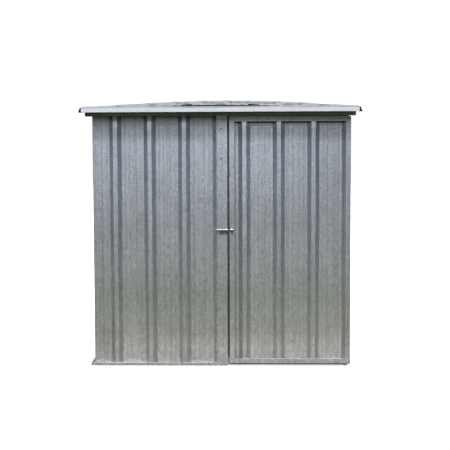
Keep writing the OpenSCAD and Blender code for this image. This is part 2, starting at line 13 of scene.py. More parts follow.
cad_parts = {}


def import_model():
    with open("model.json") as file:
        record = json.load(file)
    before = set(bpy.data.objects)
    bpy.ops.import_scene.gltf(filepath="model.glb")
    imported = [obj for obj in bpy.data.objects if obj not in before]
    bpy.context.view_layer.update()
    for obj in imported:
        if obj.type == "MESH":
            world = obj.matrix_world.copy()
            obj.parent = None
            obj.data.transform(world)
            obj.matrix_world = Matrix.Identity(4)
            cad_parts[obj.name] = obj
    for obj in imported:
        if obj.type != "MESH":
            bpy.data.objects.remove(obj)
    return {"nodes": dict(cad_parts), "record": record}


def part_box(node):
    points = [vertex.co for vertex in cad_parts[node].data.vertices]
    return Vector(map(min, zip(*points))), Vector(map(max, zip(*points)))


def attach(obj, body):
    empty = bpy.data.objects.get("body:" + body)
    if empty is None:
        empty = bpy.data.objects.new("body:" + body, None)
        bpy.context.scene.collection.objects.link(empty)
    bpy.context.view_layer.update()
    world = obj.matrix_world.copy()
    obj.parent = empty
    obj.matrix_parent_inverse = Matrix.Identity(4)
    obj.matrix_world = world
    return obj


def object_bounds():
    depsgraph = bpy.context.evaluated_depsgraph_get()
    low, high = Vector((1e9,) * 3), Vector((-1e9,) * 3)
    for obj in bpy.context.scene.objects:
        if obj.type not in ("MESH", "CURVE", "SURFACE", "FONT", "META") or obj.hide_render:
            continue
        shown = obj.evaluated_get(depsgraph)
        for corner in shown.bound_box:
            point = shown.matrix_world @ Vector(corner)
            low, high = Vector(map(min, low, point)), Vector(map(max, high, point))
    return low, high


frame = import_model()
cad_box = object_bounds()

MM = 0.001

# Camera, in metres and degrees, fitted to the photograph's square frame
CAMERA_PLACE = (0.184, -7.476, 1.456)
CAMERA_PITCH = -3.745
CAMERA_YAW = 1.323
CAMERA_ROLL = -0.2
FRAME_PIXELS = 450
FOCAL_PIXELS = 908.2
SENSOR = 36.0

# Shape of the sheets and rails that the fasteners sit on
RIB_TOP = 28 * MM
RIB_SHARE_LEAST = 0.7
RIB_SHARE_MOST = 1.4
RIB_SLACK = 2 * MM
ROOF_BAYS = 4
TOP_LIP = 28 * MM

# Sizes of the fasteners
HEAD_RADIUS = 3.6 * MM
HEAD_HEIGHT = 3.4 * MM
HEAD_CHAMFER = 0.5 * MM
HEAD_SIDES = 6
WASHER_RADIUS = 5.5 * MM
WASHER_HEIGHT = 1.6 * MM
WASHER_SIDES = 16
RIVET_RADIUS = 3.4 * MM
RIVET_EDGE = 0.3 * MM
RIVET_SHOULDER = 0.9 * MM
RIVET_CROWN = 1.3 * MM
RIVET_DIMPLE = 0.6 * MM
RIVET_SIDES = 14
SINK = 0.3 * MM

# Places of the fasteners, pushed onto their nodes from OUTSIDE, which is well clear of the shed
OUTSIDE = 3.0
JAMB_SCREW_STEP = 0.213
JAMB_SCREW_TOP = 0.118
JAMB_SCREW_IN = 0.032
JAMB_DARK_SCREWS = 2
FOOT_SCREW_Z = 0.013
FOOT_SCREW_SHIFT = 0.018
CORNER_RIVET_NEAR = 0.30
CORNER_RIVET_FAR = 0.70
RAIL_RIVET_IN = 0.55
LAP_SCREW_LOW = 0.2
LAP_SCREW_HIGH = 1.75
LAP_SCREW_STEP = 0.31
BARGE_RIVET_END = 0.06
BARGE_RIVET_STEP = 0.46
LIP_RIVET_DROP = 0.012
BOLT_RIVET_INSET = 6 * MM

# Rolled edges
BASE_HEM_RADIUS = 0.8 * MM
DOOR_HEM_RADIUS = 0.6 * MM
HEM_SIDES = 10

FRONT = (0.0, -1.0, 0.0)
BACK = (0.0, 1.0, 0.0)
LEFT = (-1.0, 0.0, 0.0)
RIGHT = (1.0, 0.0, 0.0)
UP = (0.0, 0.0, 1.0)


# Shader helpers

def new_material(name):
    material = bpy.data.materials.new(name)
    material.use_nodes = True
    tree = material.node_tree
    return material, tree, tree.nodes["Principled BSDF"]


def plug(tree, socket, value):
    """Links a socket to another one, or sets its own value."""
    if isinstance(value, bpy.types.NodeSocket):
        tree.links.new(value, socket)
    else:
        socket.default_value = value


def add(tree, kind, values=None, **settings):
    """A node with its settings, and with its inputs set or linked by name or number."""
    made = tree.nodes.new(kind)
    for key, value in settings.items():
        setattr(made, key, value)
    for key, value in (values or {}).items():
        plug(tree, made.inputs[key], value)
    return made


def maths(tree, operation, a, b, c=0.0):
    return add(tree, "ShaderNodeMath", {0: a, 1: b, 2: c}, operation=operation).outputs[0]


def times(tree, a, b):
    return maths(tree, "MULTIPLY", a, b)


def inverse(tree, value):
    """1 where the value is 0, and 0 where it is 1."""
    return maths(tree, "SUBTRACT", 1.0, value)


def even(value):
    """A colour with the same red, green and blue."""
    return (value, value, value, 1.0)


def mix_color(tree, factor, a, b, blend="MIX"):
    made = add(tree, "ShaderNodeMix", data_type="RGBA", blend_type=blend)
    plug(tree, made.inputs[0], factor)
    plug(tree, made.inputs[6], a)
    plug(tree, made.inputs[7], b)
    return made.outputs[2]


def ramp(tree, value, stops):
    made = add(tree, "ShaderNodeValToRGB", {0: value})
    elements = made.color_ramp.elements
    while len(elements) < len(stops):
        elements.new(0.5)
    for element, (place, color) in zip(elements, stops):
        element.position = place
        element.color = (*color, 1.0)
    return made.outputs[0]


def object_place(tree, scale=(1.0, 1.0, 1.0)):
    """The place on the piece in metres, stretched by scale."""
    coordinates = add(tree, "ShaderNodeTexCoord").outputs["Object"]
    return add(tree, "ShaderNodeMapping", {"Vector": coordinates, "Scale": scale}).outputs[0]


def along(tree, axis):
    """The place on the piece along one axis, in metres."""
    coordinates = add(tree, "ShaderNodeTexCoord").outputs["Object"]
    return add(tree, "ShaderNodeSeparateXYZ", {0: coordinates}).outputs[axis]


def noise(tree, scale, detail=4.0, roughness=0.55):
    """Cloudy noise; scale gives waves a metre along X, Y and Z."""
    made = add(
        tree, "ShaderNodeTexNoise",
        {"Vector": object_place(tree, scale), "Scale": 1.0, "Detail": detail, "Roughness": roughness},
    )
    return made.outputs["Fac"]


def cells(tree, scale, channel):
    """A random value for each crystal; scale gives crystals a metre."""
    made = add(tree, "ShaderNodeTexVoronoi", {"Vector": object_place(tree), "Scale": scale})
    return add(tree, "ShaderNodeSeparateColor", {0: made.outputs["Color"]}).outputs[channel]


def span(tree, value, low, high):
    """0 at low and 1 at high, with soft ends."""
    made = add(
        tree, "ShaderNodeMapRange",
        {"Value": value, "From Min": low, "From Max": high}, interpolation_type="SMOOTHSTEP",
    )
    return made.outputs[0]


def bumped(tree, shader, height, strength, distance):
    """Gives a shader the relief of a height."""
    bump = add(tree, "ShaderNodeBump", {"Strength": strength, "Distance": distance, "Height": height})
    tree.links.new(bump.outputs[0], shader.inputs["Normal"])


# Weathering of the zinc, and the light, shade and reflection painted on it

# Tints that multiply the colour, by height as a share of TINT_HEIGHT: painted reflection of the
# surroundings as a pale foot, a green middle and a blue top and, above EAVE_LEVEL, painted light and
# shade under the eave
TINT_HEIGHT = 2.05
EAVE_LEVEL = 0.79
LOW_TINTS = [
    (0.00, (1.32, 1.30, 1.23)),
    (0.065, (1.41, 1.37, 1.26)),
    (0.12, (1.06, 1.035, 0.93)),
    (0.25, (0.87, 0.88, 0.795)),
    (0.36, (0.92, 0.935, 0.905)),
    (0.50, (0.88, 0.90, 0.92)),
    (0.64, (1.03, 1.05, 1.11)),
    (0.79, (1.10, 1.13, 1.21)),
]
SHEET_TINTS = LOW_TINTS + [
    (0.818, (0.87, 0.895, 0.955)),
    (0.838, (0.97, 0.995, 1.055)),
    (0.86, (1.50, 1.52, 1.57)),
    (0.877, (0.65, 0.61, 0.54)),
]
RAIL_TINTS = LOW_TINTS + [
    (0.815, (1.04, 1.07, 1.13)),
    (0.835, (0.86, 0.88, 0.93)),
    (0.88, (0.76, 0.73, 0.68)),
]
# Painted shade on the sloping flanks: multipliers by the same height share
FLANK_TINTS = [
    (0.05, (0.78, 0.78, 0.79)),
    (0.12, (0.98, 0.98, 0.99)),
    (0.26, (1.05, 1.05, 1.06)),
    (0.42, (0.86, 0.88, 0.91)),
    (0.56, (0.83, 0.85, 0.88)),
    (0.70, (0.72, 0.746, 0.785)),
    (0.84, (0.64, 0.665, 0.70)),
]

# Where marks begin and end, in metres along X, Y or Z, with their strengths and colours
FRONT_END_Y = (-0.87, -0.85)
# Painted shade high up toward the hinge side
HINGE_SHADE_X = (0.1, 0.9)
HINGE_SHADE_Z = (0.8, 1.5)
HINGE_SHADE_STRENGTH = 0.18
HINGE_SHADE_COLOR = (0.05, 0.05, 0.05, 1.0)
DAMP_LEFT_X = (-0.84, -0.66)
DAMP_RIGHT_X = (0.86, 0.90)
DAMP_FOOT_Z = (0.0, 0.16)
DAMP_TOP_Z = (0.05, 0.55)
DAMP_STRENGTH = 0.22
DAMP_COLOR = (0.05, 0.06, 0.04, 1.0)
SPLASH_TOP_Z = (0.0, 0.5)
SPLASH_COLOR = (0.27, 0.25, 0.20, 1.0)
# Painted shade in crevices, faded out near the ground
CREVICE_SHADE_REACH = 0.045
CREVICE_SHADE_FOOT_Z = (0.02, 0.09)
CREVICE_SHADE_COLOR = (0.022, 0.024, 0.022, 1.0)
# Painted shade on faces that look at the sky
SKYWARD_SHADE_COLOR = (0.16, 0.16, 0.165, 1.0)
WORN_FOOT_Z = (0.85, 1.05)
WORN_TOP_Z = (1.42, 1.60)
WORN_GAIN = 1.09
CREST_DEPTH = (3 * MM, 8 * MM)
PAN_DEPTH = (5 * MM, 11 * MM)
SIDE_FADE = 2 * MM
EDGE_FADE = 4 * MM
# Painted shadow just under the door's top rail, and painted light on the door's pans below it
RAIL_SHADOW_REACH = 9 * MM
RAIL_SHADOW_STRENGTH = 0.88
RAIL_LIGHT_REACH = 36 * MM
RAIL_LIGHT_GAIN = 1.4
RAIL_LIGHT_CLEAR = 0.8

# How open, skyward, square or bent a face is where a mark begins and ends
OPEN_SKY = (0.10, 0.85)
SKYWARD = (0.35, 0.95)
SQUARE = (0.78, 1.0)
BENT = (0.004, 0.06)

# Spread of the zinc's tones to either side of its base colour
CONTRAST = 0.22


def crevice(tree, reach):
    """1 in narrow gaps and inner corners, 0 on open faces: where painted shade goes."""
    open_sky = add(tree, "ShaderNodeAmbientOcclusion", {"Distance": reach}, samples=6).outputs["AO"]
    return inverse(tree, span(tree, open_sky, *OPEN_SKY))


def upward(tree):
    """1 on faces that look at the sky, 0 on upright ones."""
    facing = add(tree, "ShaderNodeNewGeometry").outputs["Normal"]
    return span(tree, add(tree, "ShaderNodeSeparateXYZ", {0: facing}).outputs["Z"], *SKYWARD)


def slopes(tree):
    """1 on the sloping flanks of ribs, less on those of swages, 0 on faces square to the piece."""
    facing = add(tree, "ShaderNodeTexCoord").outputs["Normal"]
    sizes = add(tree, "ShaderNodeVectorMath", {0: facing}, operation="ABSOLUTE").outputs[0]
    axes = add(tree, "ShaderNodeSeparateXYZ", {0: sizes}).outputs
    square = maths(tree, "MAXIMUM", maths(tree, "MAXIMUM", axes["X"], axes["Y"]), axes["Z"])
    return inverse(tree, span(tree, square, *SQUARE))


def on_front(tree):
    """1 on the front wall and the door, 0 further back."""
    return inverse(tree, span(tree, along(tree, "Y"), *FRONT_END_Y))


def tint_level(tree):
    """Height as a share of TINT_HEIGHT; what lies above EAVE_LEVEL counts on the front only."""
    height = maths(tree, "DIVIDE", along(tree, "Z"), TINT_HEIGHT)
    shaded = maths(tree, "MAXIMUM", maths(tree, "SUBTRACT", height, EAVE_LEVEL), 0.0)
    level = maths(tree, "MINIMUM", height, EAVE_LEVEL)
    return maths(tree, "MULTIPLY_ADD", shaded, on_front(tree), level)


def under_rail(tree, reach):
    """1 on the pans of the door's sheet behind its top rail and down to reach below it."""
    low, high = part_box("door_sheet")
    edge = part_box("door_top_rail")[0][2] - reach
    inside = times(tree, on_front(tree), span(tree, along(tree, "X"), low[0] - SIDE_FADE, low[0]))
    pans = span(tree, along(tree, "Y"), low[1] + PAN_DEPTH[0], low[1] + PAN_DEPTH[1])
    inside = times(tree, inside, pans)
    beyond = span(tree, along(tree, "X"), high[0], high[0] + SIDE_FADE)
    inside = times(tree, inside, inverse(tree, beyond))
    return times(tree, inside, span(tree, along(tree, "Z"), edge - EDGE_FADE, edge))


def hinge_shaded_and_damp(tree, color):
    """The colour with painted shade high up toward the hinge side, and damp low down near both ends."""
    hinge_shade = times(tree, span(tree, along(tree, "X"), *HINGE_SHADE_X), span(tree, along(tree, "Z"), *HINGE_SHADE_Z))
    color = mix_color(tree, times(tree, hinge_shade, HINGE_SHADE_STRENGTH), color, HINGE_SHADE_COLOR)
    damp = inverse(tree, span(tree, along(tree, "X"), *DAMP_LEFT_X))
    damp = maths(tree, "MAXIMUM", damp, span(tree, along(tree, "X"), *DAMP_RIGHT_X))
    low_down = inverse(tree, span(tree, along(tree, "Z"), *DAMP_TOP_Z))
    low_down = times(tree, low_down, span(tree, along(tree, "Z"), *DAMP_FOOT_Z))
    damp = times(tree, times(tree, damp, low_down), DAMP_STRENGTH)
    return mix_color(tree, damp, color, DAMP_COLOR)


def worn(tree, color):
    """The colour with the front's rib tops rubbed brighter at hand height."""
    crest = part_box("front_panel")[0][1]
    behind = span(tree, along(tree, "Y"), crest + CREST_DEPTH[0], crest + CREST_DEPTH[1])
    brightened = times(tree, inverse(tree, behind), span(tree, along(tree, "Z"), *WORN_FOOT_Z))
    brightened = times(tree, brightened, inverse(tree, span(tree, along(tree, "Z"), *WORN_TOP_Z)))
    return mix_color(tree, brightened, color, even(WORN_GAIN), "MULTIPLY")


# Materials

def zinc(
    name, base, metallic, roughness, crystals=150.0, tints=None, grime=0.5, dulling=0.0, crevice_shade=0.85,
    sheen=0.0, bend=3.5 * MM, bend_highlight=0.30, skyward_shade=0.0, front_wear_and_painted_light=False,
):
    """Weathered zinc: crystal spangle, rolled streaks, tints by height with painted reflection, light and
    shade, painted shade on slopes, in crevices and on skyward faces, and painted highlights on bends.

    Where no tints are given, the slopes get a painted shade of the given strength.
    """
    material, tree, shader = new_material(name)
    spangle = times(tree, cells(tree, crystals, 0), 0.75)
    spangle = maths(tree, "MULTIPLY_ADD", cells(tree, crystals * 0.5, 1), 0.25, spangle)
    streaks = noise(tree, (42.0, 42.0, 0.7), 4.0)
    clouds = noise(tree, (1.3, 1.3, 2.2), 3.0, 0.5)
    tone = maths(tree, "MULTIPLY_ADD", spangle, 0.34, 0.08)
    tone = maths(tree, "MULTIPLY_ADD", streaks, 0.60, tone)
    tone = maths(tree, "MULTIPLY_ADD", clouds, 0.30, tone)
    dark = [channel * (1.0 - CONTRAST) for channel in base]
    light = [channel * (1.0 + CONTRAST) for channel in base]
    color = ramp(tree, tone, [(0.40, dark), (0.95, light)])
    if tints:
        # Painted reflection, light and shade by height, and painted shade on the flanks by height
        level = tint_level(tree)
        flank_shade = ramp(tree, level, FLANK_TINTS)
        color = mix_color(tree, 1.0, color, ramp(tree, level, tints), "MULTIPLY")
        color = hinge_shaded_and_damp(tree, color)
    else:
        # Painted shade on the slopes, a little blue
        flank_shade = (1.0 - dulling, 1.0 - 0.9 * dulling, 1.0 - 0.75 * dulling, 1.0)

    # Splash marks that thin out upward, and painted shade in the crevices
    low = inverse(tree, span(tree, along(tree, "Z"), *SPLASH_TOP_Z))
    splash = span(tree, noise(tree, (8.0, 8.0, 3.0), 6.0, 0.65), 0.45, 0.75)
    dirt = times(tree, times(tree, low, splash), grime)
    color = mix_color(tree, dirt, color, SPLASH_COLOR)
    gap_shade = times(tree, crevice(tree, CREVICE_SHADE_REACH), crevice_shade)
    gap_shade = times(tree, gap_shade, span(tree, along(tree, "Z"), *CREVICE_SHADE_FOOT_Z))
    if front_wear_and_painted_light:
        color = worn(tree, color)
        # Painted light on the door's pans below its top rail, which clears some of the painted crevice
        # shade there
        rail_light = under_rail(tree, RAIL_LIGHT_REACH)
        color = mix_color(tree, rail_light, color, even(RAIL_LIGHT_GAIN), "MULTIPLY")
        gap_shade = times(tree, gap_shade, maths(tree, "MULTIPLY_ADD", rail_light, -RAIL_LIGHT_CLEAR, 1.0))
        # Painted shadow just under the door's top rail
        rail_shadow = times(tree, under_rail(tree, RAIL_SHADOW_REACH), RAIL_SHADOW_STRENGTH)
        gap_shade = maths(tree, "MAXIMUM", gap_shade, rail_shadow)
    color = mix_color(tree, gap_shade, color, CREVICE_SHADE_COLOR)
    # Painted shade on the sloping flanks
    color = mix_color(tree, slopes(tree), color, flank_shade, "MULTIPLY")
    # Painted shade on faces that look at the sky
    color = mix_color(tree, times(tree, upward(tree), skyward_shade), color, SKYWARD_SHADE_COLOR)

    # Bends, softened by the rolling, get a painted highlight that makes them a little brighter
    bends = add(tree, "ShaderNodeBevel", {"Radius": bend}, samples=8).outputs[0]
    flat = add(tree, "ShaderNodeNewGeometry").outputs["Normal"]
    alike = add(tree, "ShaderNodeVectorMath", {0: bends, 1: flat}, operation="DOT_PRODUCT")
    brightened = span(tree, inverse(tree, alike.outputs["Value"]), *BENT)
    color = mix_color(tree, brightened, color, even(1.0 + bend_highlight), "MULTIPLY")
    tree.links.new(color, shader.inputs["Base Color"])

    shine = maths(tree, "MULTIPLY_ADD", spangle, 0.16, roughness - 0.08)
    shine = maths(tree, "MULTIPLY_ADD", dirt, 0.3, shine)
    tree.links.new(shine, shader.inputs["Roughness"])
    shader.inputs["Metallic"].default_value = metallic
    shader.inputs["Coat Weight"].default_value = sheen
    shader.inputs["Coat Roughness"].default_value = 0.35

    # Slight oil-canning of thin sheet, and the relief of the crystals
    waves = noise(tree, (5.0, 5.0, 1.4), 2.0, 0.4)
    swell = add(
        tree, "ShaderNodeBump",
        {"Strength": 0.25, "Distance": 5 * MM, "Height": waves, "Normal": bends},
    ).outputs[0]
    relief = add(
        tree, "ShaderNodeBump",
        {"Strength": 0.08, "Distance": 0.6 * MM, "Height": spangle, "Normal": swell},
    )
    tree.links.new(relief.outputs[0], shader.inputs["Normal"])
    return material


def flashing():
    """Bright coated strip, with painted shade on what faces the sky and in crevices, and dull marks of
    rubbing.
    """
    material, tree, shader = new_material("flashing_look")
    rubs = noise(tree, (3.0, 18.0, 40.0), 6.0, 0.6)
    fine = cells(tree, 140.0, 0)
    tone = maths(tree, "MULTIPLY_ADD", fine, 0.25, times(tree, rubs, 0.75))
    color = ramp(tree, tone, [(0.30, (0.68, 0.71, 0.73)), (0.70, (0.84, 0.87, 0.885))])
    # Painted shade on what faces the sky, and in crevices
    skyward_shade = times(tree, upward(tree), maths(tree, "MULTIPLY_ADD", rubs, 0.6, 0.60))
    color = mix_color(tree, skyward_shade, color, (0.137, 0.144, 0.172, 1.0))
    gap_shade = times(tree, crevice(tree, 0.03), 0.7)
    color = mix_color(tree, gap_shade, color, even(0.05))
    tree.links.new(color, shader.inputs["Base Color"])
    tree.links.new(maths(tree, "MULTIPLY_ADD", rubs, 0.3, 0.25), shader.inputs["Roughness"])
    shader.inputs["Metallic"].default_value = 0.25
    bumped(tree, shader, rubs, 0.15, 2 * MM)
    return material


def dark_steel():
    """Dull steel, mottled green-black, its colour darkened as painted shade under the roof's edge."""
    material, tree, shader = new_material("frame_steel_shaded_look")
    dulling = noise(tree, (9.0, 9.0, 9.0), 6.0, 0.6)
    color = ramp(tree, dulling, [(0.30, (0.18, 0.198, 0.150)), (0.72, (0.42, 0.45, 0.36))])
    tree.links.new(color, shader.inputs["Base Color"])
    tree.links.new(maths(tree, "MULTIPLY_ADD", dulling, 0.3, 0.4), shader.inputs["Roughness"])
    shader.inputs["Metallic"].default_value = 0.4
    bumped(tree, shader, dulling, 0.2, 1 * MM)
    return material


def plating():
    """Bright zinc plating of small hardware, with scuffs and dull spots."""
    material, tree, shader = new_material("hardware_steel_look")
    scuffs = noise(tree, (220.0, 60.0, 60.0), 4.0)
    spots = span(tree, noise(tree, (95.0, 95.0, 95.0), 5.0), 0.50, 0.68)
    color = mix_color(tree, spots, (0.33, 0.34, 0.35, 1.0), (0.21, 0.20, 0.19, 1.0))
    tree.links.new(color, shader.inputs["Base Color"])
    tree.links.new(maths(tree, "MULTIPLY_ADD", scuffs, 0.3, 0.3), shader.inputs["Roughness"])
    shader.inputs["Metallic"].default_value = 0.8
    bumped(tree, shader, scuffs, 0.25, 0.4 * MM)
    return material


def black_plastic():
    """Black moulded plastic, a little chalky from the sun."""
    material, tree, shader = new_material("cap_plastic_look")
    chalk = noise(tree, (130.0, 130.0, 130.0), 6.0)
    color = ramp(tree, chalk, [(0.35, (0.003, 0.003, 0.003)), (0.80, (0.012, 0.012, 0.0125))])
    tree.links.new(color, shader.inputs["Base Color"])
    tree.links.new(maths(tree, "MULTIPLY_ADD", chalk, 0.25, 0.42), shader.inputs["Roughness"])
    shader.inputs["Specular IOR Level"].default_value = 0.2
    grain = noise(tree, (900.0, 900.0, 900.0))
    bumped(tree, shader, grain, 0.3, 0.4 * MM)
    return material


# Each finish sets its own strengths of painted shade in crevices, on slopes and on skyward faces, and of
# painted highlights on bends
LOOKS = {
    "wall_sheet": zinc(
        "wall_sheet_look", (0.60, 0.62, 0.635), 0.96, 0.52, tints=SHEET_TINTS, front_wear_and_painted_light=True,
    ),
    "roof_sheet": zinc(
        "roof_sheet_look", (0.41, 0.41, 0.42), 0.35, 0.55, grime=0.0, dulling=0.42, crevice_shade=0.45,
        sheen=0.2, skyward_shade=0.75,
    ),
    "rail_steel": zinc(
        "rail_steel_look", (0.63, 0.65, 0.665), 0.96, 0.50, crystals=140.0, tints=RAIL_TINTS,
        crevice_shade=0.78, bend=1.5 * MM, bend_highlight=0.0, skyward_shade=0.8,
    ),
    "frame_steel": dark_steel(),
    "flashing": flashing(),
    "cap_plastic": black_plastic(),
    "hardware_steel": plating(),
}


def dress_nodes():
    """Gives each CAD node the finish of its slot."""
    slots = {part["node"]: part["material_slot"] for part in frame["record"]["subparts"]}
    for name, obj in frame["nodes"].items():
        for slot in obj.material_slots:
            slot.material = LOOKS[slots[name]]


# Places on the CAD nodes

trees = {}


def seat(node, start, normal):
    """Where a fastener at start, pushed against its normal, meets a node, and the node's normal there."""
    if node not in trees:
        mesh = frame["nodes"][node].data
        trees[node] = BVHTree.FromPolygons(
            [v.co for v in mesh.vertices], [list(p.vertices) for p in mesh.polygons]
        )
    place, facing, _, _ = trees[node].ray_cast(Vector(start), -Vector(normal))
    return place, facing


def met(places):
    """Those of the seats where the fastener met its node."""
    return [found for found in places if found[0]]


def rib_centres(node, axis, across, side):
    """Middles of a wall sheet's rib tops: places along one axis where it reaches furthest across."""
    points = [v.co for v in frame["nodes"][node].data.vertices]
    reach = max(side * p[across] for p in points)
    edges = sorted({round(p[axis], 4) for p in points if side * p[across] > reach - RIB_SLACK})
    return [
        (a + b) / 2 for a, b in zip(edges, edges[1:])
        if RIB_SHARE_LEAST < (b - a) / RIB_TOP < RIB_SHARE_MOST
    ]


def spread(low, high, step):
    """Evenly spaced places from low to high, about a step apart."""
    count = max(1, round((high - low) / step))
    return [low + (high - low) * k / count for k in range(count + 1)]


# Shapes of fasteners and hems

def lathe(mesh, profile, sides, frame_matrix):
    """A closed turned shape from (radius, height) pairs, bottom first."""
    rings = []
    for radius, level in profile:
        turns = [2 * math.pi * k / sides for k in range(sides)]
        rings.append([
            mesh.verts.new(frame_matrix @ Vector((radius * math.cos(t), radius * math.sin(t), level)))
            for t in turns
        ])
    for lower, upper in zip(rings, rings[1:]):
        for k in range(sides):
            after = (k + 1) % sides
            mesh.faces.new((lower[k], lower[after], upper[after], upper[k]))
    mesh.faces.new(list(reversed(rings[0])))
    mesh.faces.new(rings[-1])


def at(place, normal):
    """The placement that stands a shape on a place, along a normal."""
    turn = Vector(UP).rotation_difference(Vector(normal)).to_matrix().to_4x4()
    return Matrix.Translation(place) @ turn


def washer(mesh, place, normal):
    """Domed sealing washer."""
    lathe(mesh, [
        (WASHER_RADIUS, -SINK), (WASHER_RADIUS, 0.5 * WASHER_HEIGHT),
        (0.8 * WASHER_RADIUS, WASHER_HEIGHT), (0.5 * HEAD_RADIUS, WASHER_HEIGHT),
    ], WASHER_SIDES, at(place, normal))


def head(mesh, place, normal):
    """Hexagon screw head that stands on its washer."""
    top = WASHER_HEIGHT + HEAD_HEIGHT
    lathe(mesh, [
        (HEAD_RADIUS, 0.0), (HEAD_RADIUS, top - HEAD_CHAMFER), (0.82 * HEAD_RADIUS, top),
    ], HEAD_SIDES, at(place, normal))


def rivet(mesh, place, normal):
    """Domed blind rivet with its dimple."""
    lathe(mesh, [
        (RIVET_RADIUS, -SINK), (RIVET_RADIUS, RIVET_EDGE),
        (0.86 * RIVET_RADIUS, RIVET_SHOULDER), (0.5 * RIVET_RADIUS, RIVET_CROWN),
        (0.34 * RIVET_RADIUS, RIVET_CROWN), (0.3 * RIVET_RADIUS, RIVET_DIMPLE),
    ], RIVET_SIDES, at(place, normal))


def bead(mesh, start, end, radius):
    """Rolled edge from start to end."""
    way = Vector(end) - Vector(start)
    lathe(mesh, [(radius, 0.0), (radius, way.length)], HEM_SIDES, at(start, way.normalized()))


def finish_piece(name, mesh, body, slot):
    """Makes a mesh into a piece that rides on a body, with the finish of a slot."""
    data = bpy.data.meshes.new(name)
    bmesh.ops.recalc_face_normals(mesh, faces=mesh.faces)
    mesh.to_mesh(data)
    mesh.free()
    data.materials.append(LOOKS[slot])
    obj = bpy.data.objects.new(name, data)
    bpy.context.scene.collection.objects.link(obj)
    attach(obj, body)


def joined(name, body, slot, shape, places):
    """One joined piece of like fasteners, at (place, normal) pairs."""
    mesh = bmesh.new()
    for place, normal in places:
        shape(mesh, place, normal)
    finish_piece(name, mesh, body, slot)


def screws(name, body, places):
    """Hexagon screws and, as a piece of their own, their dark washers."""
    joined(name + "_heads", body, "hardware_steel", head, places)
    joined(name + "_washers", body, "cap_plastic", washer, places)


# Fasteners of each sub-part

def front_fasteners():
    """Rivets and dark screws down the jamb, and rivets at the foot of the front panel."""
    low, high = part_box("door_jamb")
    x = low[0] + JAMB_SCREW_IN
    count = int((high[2] - JAMB_SCREW_TOP) / JAMB_SCREW_STEP)
    levels = [high[2] - JAMB_SCREW_TOP - k * JAMB_SCREW_STEP for k in range(count + 1)]
    plain = [((x, low[1], z), FRONT) for z in levels[JAMB_DARK_SCREWS:]]
    joined("jamb_rivets", "shed", "rail_steel", rivet, plain)
    dark = [((x, low[1], z), FRONT) for z in levels[:JAMB_DARK_SCREWS]]
    screws("front_screws", "shed", dark)
    feet = [((x, low[1], FOOT_SCREW_Z), FRONT)]
    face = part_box("base_rail_front")[0][1]
    for rib in rib_centres("front_panel", 0, 1, -1):
        if rib < low[0]:
            feet.append(((rib + FOOT_SCREW_SHIFT, face, FOOT_SCREW_Z), FRONT))
    joined("front_foot_rivets", "shed", "hardware_steel", rivet, feet)


def door_fasteners():
    """Rivets at the corners of the door's frame, and where its rails cross the ribs."""
    x0, face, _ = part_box("door_left_stile")[0]
    x1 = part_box("door_right_stile")[1][0]
    z0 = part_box("door_bottom_rail")[0][2]
    z1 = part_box("door_top_rail")[1][2]
    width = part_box("door_left_stile")[1][0] - x0
    near = CORNER_RIVET_NEAR * width
    far = CORNER_RIVET_FAR * width
    corners = []
    for x, sx in ((x0, 1), (x1, -1)):
        for z, sz in ((z0, 1), (z1, -1)):
            corners.append(((x + sx * near, face, z + sz * far), FRONT))
            corners.append(((x + sx * far, face, z + sz * near), FRONT))
    joined("door_corner_rivets", "door", "hardware_steel", rivet, corners)
    places = []
    for x in rib_centres("door_sheet", 0, 1, -1):
        if x0 + width < x < x1 - width:
            places.append(((x, face, z1 - RAIL_RIVET_IN * width), FRONT))
            places.append(((x, face, z0 + RAIL_RIVET_IN * width), FRONT))
    joined("door_rail_rivets", "door", "rail_steel", rivet, places)


def side_fasteners():
    """Screws at the feet, laps and heads of the side and back walls."""
    places = []
    for side, normal in (("left", LEFT), ("right", RIGHT)):
        sheets = (side + "_wall_front_sheet", side + "_wall_rear_sheet")
        sign = normal[0]
        rail_low, rail_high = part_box("top_rail_" + side)
        front_top = rail_low[2] + TOP_LIP
        rise = (rail_high[2] - front_top) / (rail_high[1] - rail_low[1])
        ribs = sorted({round(y, 2) for node in sheets for y in rib_centres(node, 1, 0, sign)})
        for y in ribs:
            places.append(seat("base_rail_" + side, (sign * OUTSIDE, y, FOOT_SCREW_Z), normal))
            head_z = front_top + (y - rail_low[1]) * rise - 0.5 * TOP_LIP
            places.append(seat("top_rail_" + side, (sign * OUTSIDE, y, head_z), normal))
        for z in spread(LAP_SCREW_LOW, LAP_SCREW_HIGH, LAP_SCREW_STEP):
            places.append(seat(sheets[0], (sign * OUTSIDE, 0.0, z), normal))
    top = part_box("top_rail_back")[1][2]
    sheets = ("back_wall_left_sheet", "back_wall_right_sheet")
    for x in sorted({round(x, 2) for node in sheets for x in rib_centres(node, 0, 1, 1)}):
        places.append(seat("base_rail_back", (x, OUTSIDE, FOOT_SCREW_Z), BACK))
        places.append(seat("top_rail_back", (x, OUTSIDE, top - 0.5 * TOP_LIP), BACK))
    for z in spread(LAP_SCREW_LOW, LAP_SCREW_HIGH, LAP_SCREW_STEP):
        places.append(seat(sheets[1], (0.0, OUTSIDE, z), BACK))
    screws("wall_screws", "shed", met(places))


def roof_node(bay):
    """The roof sheet that carries a rib, counted in bays from the middle."""
    if abs(bay) < 2:
        return "roof_sheet_middle"
    return "roof_sheet_left" if bay < 0 else "roof_sheet_right"


